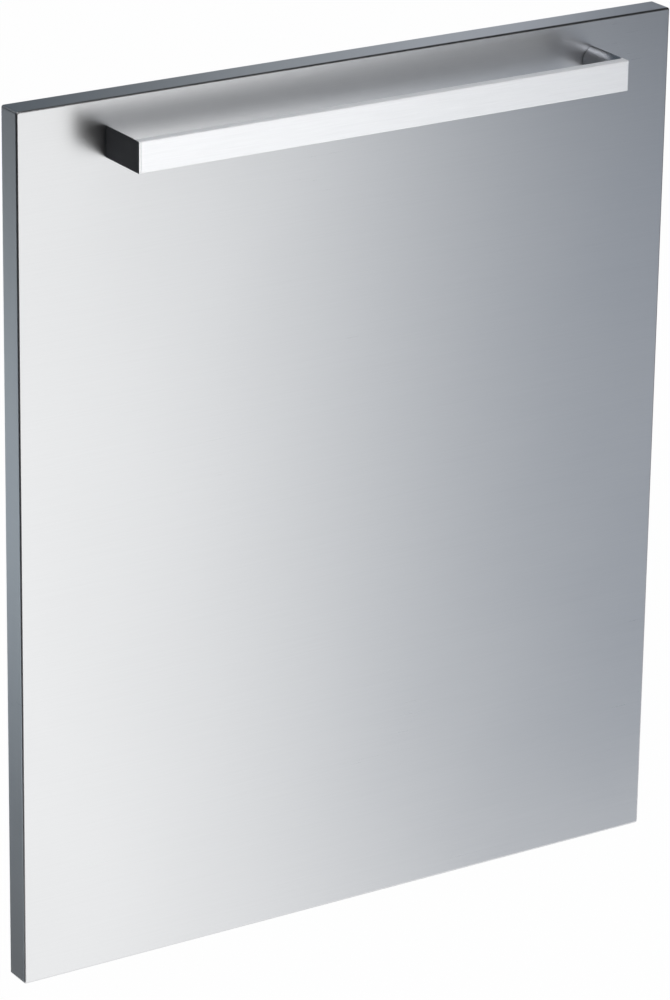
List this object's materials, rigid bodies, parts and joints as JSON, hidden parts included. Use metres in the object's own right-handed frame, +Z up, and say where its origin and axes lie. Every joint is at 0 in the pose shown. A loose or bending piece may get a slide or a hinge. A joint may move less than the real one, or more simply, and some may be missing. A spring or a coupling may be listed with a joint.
{
  "type": "built-in dishwasher front panel",
  "caption": "Stainless steel front panel for a built-in dishwasher, with a square bar handle and height-adjustable hooks behind.",
  "frame": {"origin": "centre of the rectangle of the four door screws, on the plane where the spacers meet the appliance's door", "axes": "+Z up, +Y from the panel towards the door, so the face and its handle look along -Y, and +X is to the right as seen from the front"},
  "size_m": [0.598, 0.0912, 0.718],
  "materials": {
    "brushed_stainless": "satin",
    "handle_steel": "satin",
    "galvanised_sheet": "satin",
    "galvanised_bracket": "satin",
    "zinc_steel": "satin",
    "insert_brass": "satin",
    "black_plastic": "matte",
    "gasket_rubber": "matte",
    "core_wood": "matte",
    "paper_honeycomb": "matte"
  },
  "bodies": {
    "panel": {"front_skin": "brushed_stainless", "back_sheet": "galvanised_sheet", "top_rail": "core_wood", "bottom_rail": "core_wood", "left_stile": "core_wood", "right_stile": "core_wood", "left_hanger_block": "core_wood", "right_hanger_block": "core_wood", "honeycomb_core": "paper_honeycomb", "handle_bar": "handle_steel", "left_handle_post": "handle_steel", "right_handle_post": "handle_steel", "left_post_gasket": "gasket_rubber", "right_post_gasket": "gasket_rubber", "locating_pins": "zinc_steel", "handle_foot_screws": "zinc_steel", "foot_screw_washers": "zinc_steel", "foot_screw_sleeves": "zinc_steel", "bar_grub_screws": "zinc_steel", "access_plugs": "black_plastic", "threaded_inserts": "insert_brass", "door_spacers": "black_plastic", "left_hanger_base": "galvanised_bracket", "left_lock_screw": "zinc_steel", "left_hanger_screws": "zinc_steel", "right_hanger_base": "galvanised_bracket", "right_lock_screw": "zinc_steel", "right_hanger_screws": "zinc_steel"},
    "left_hook": {"left_hook_slide": "zinc_steel"},
    "right_hook": {"right_hook_slide": "zinc_steel"},
    "left_screw": {"left_height_screw": "zinc_steel", "left_height_clip": "zinc_steel"},
    "right_screw": {"right_height_screw": "zinc_steel", "right_height_clip": "zinc_steel"}
  },
  "joints": [
    {"name": "left_height_screw_turn", "type": "hinge", "parent": "panel", "child": "left_screw", "pos_m": [-0.19, 0.0025, 0.22], "axis": [0, 0, 1], "range_deg": [-1800, 1800]},
    {"name": "right_height_screw_turn", "type": "hinge", "parent": "panel", "child": "right_screw", "pos_m": [0.19, 0.0025, 0.22], "axis": [0, 0, 1], "range_deg": [-1800, 1800]},
    {"name": "left_hook_height", "type": "slide", "parent": "panel", "child": "left_hook", "axis": [0, 0, 1], "range_m": [-0.005, 0.005]},
    {"name": "right_hook_height", "type": "slide", "parent": "panel", "child": "right_hook", "axis": [0, 0, 1], "range_m": [-0.005, 0.005]}
  ],
  "couplings": [
    {"joint": "left_height_screw_turn", "follows": "left_hook_height", "rad_per_m": -6283.2},
    {"joint": "right_height_screw_turn", "follows": "right_hook_height", "rad_per_m": -6283.2}
  ]
}
